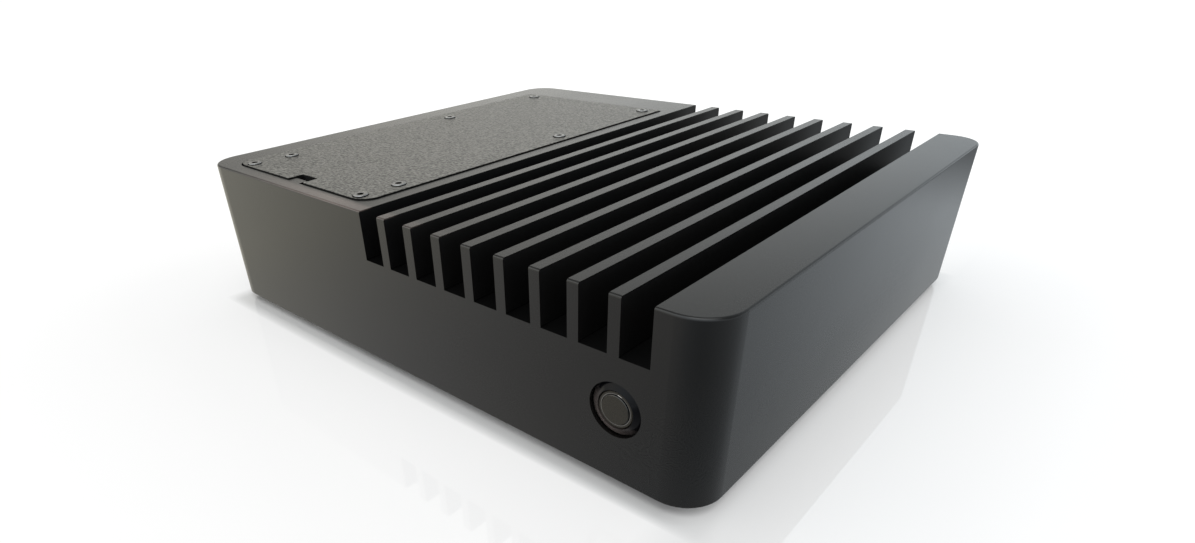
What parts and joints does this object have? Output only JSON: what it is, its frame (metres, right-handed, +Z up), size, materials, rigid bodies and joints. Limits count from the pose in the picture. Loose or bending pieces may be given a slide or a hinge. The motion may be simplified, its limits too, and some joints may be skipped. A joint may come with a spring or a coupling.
{
  "type": "fanless industrial computer",
  "caption": "Low black computer in a machined aluminium chassis with open cooling slots, a textured access cover, a front power button and rear sockets.",
  "frame": {"origin": "on the floor under the middle of the chassis", "axes": "+X to the right seen from the front, along the chassis's width; +Y to the rear; +Z up"},
  "size_m": [0.254, 0.222, 0.064],
  "materials": {
    "black_anodised": "fine satin black anodising over a machined surface",
    "crinkle_coat": "dark crinkle powder coat",
    "black_screws": "blackened steel",
    "plated_screws": "zinc-plated steel",
    "rubber_feet": "matt black rubber",
    "black_button": "satin black plated metal",
    "steel_sheet": "plated sheet",
    "drive_case": "fine blasted aluminium",
    "board_laminate": "green solder mask over glass laminate",
    "brass_pillars": "turned brass",
    "chip_package": "package with a bare die",
    "thermal_pad": "soft grey-blue pad",
    "bare_aluminium": "milled aluminium",
    "socket_plastic": "black moulded plastic",
    "socket_shell": "plated steel shell",
    "cell_steel": "nickel-plated steel",
    "capacitor_can": "aluminium can",
    "coil_ferrite": "pressed ferrite",
    "spring_steel": "spring wire"
  },
  "bodies": {
    "frame": {"chassis": "black_anodised", "base_plate": "black_anodised", "base_screws": "black_screws", "foot_front_left": "rubber_feet", "foot_front_right": "rubber_feet", "foot_rear_left": "rubber_feet", "foot_rear_right": "rubber_feet", "access_cover": "crinkle_coat", "cover_screws": "black_screws", "tray_screws": "black_screws", "drive_tray": "steel_sheet", "storage_drive": "drive_case", "drive_screws": "plated_screws", "motherboard": "board_laminate", "board_standoffs": "brass_pillars", "board_screws": "plated_screws", "processor": "chip_package", "thermal_pad_lower": "thermal_pad", "heat_block": "bare_aluminium", "thermal_pad_upper": "thermal_pad", "heat_block_screws": "plated_screws", "memory_socket_front": "socket_plastic", "memory_socket_rear": "socket_plastic", "memory_module_front": "board_laminate", "memory_module_rear": "board_laminate", "module_socket": "socket_plastic", "solid_state_module": "board_laminate", "module_pillar": "brass_pillars", "module_screw": "plated_screws", "cell_holder": "socket_plastic", "coin_cell": "cell_steel", "coils": "coil_ferrite", "capacitors": "capacitor_can", "storage_port": "socket_plastic", "panel_header": "socket_plastic", "rear_panel": "black_anodised", "rear_panel_screws": "black_screws", "power_inlet": "socket_plastic", "display_socket_left": "socket_shell", "display_socket_right": "socket_shell", "usb_socket_left": "socket_shell", "usb_socket_right": "socket_shell", "network_socket_left": "socket_shell", "network_socket_right": "socket_shell", "audio_socket": "socket_plastic", "button_housing": "black_button", "button_seal": "rubber_feet", "button_nut": "plated_screws", "button_contacts": "socket_plastic", "button_spring": "spring_steel"},
    "button": {"button_cap": "black_button"}
  },
  "joints": [
    {"name": "button_press", "type": "slide", "parent": "frame", "child": "button", "axis": [0, 1, 0], "range_m": [0, 0.0015], "stiffness_N_per_m": 1200, "deforming": ["button_spring"]}
  ]
}
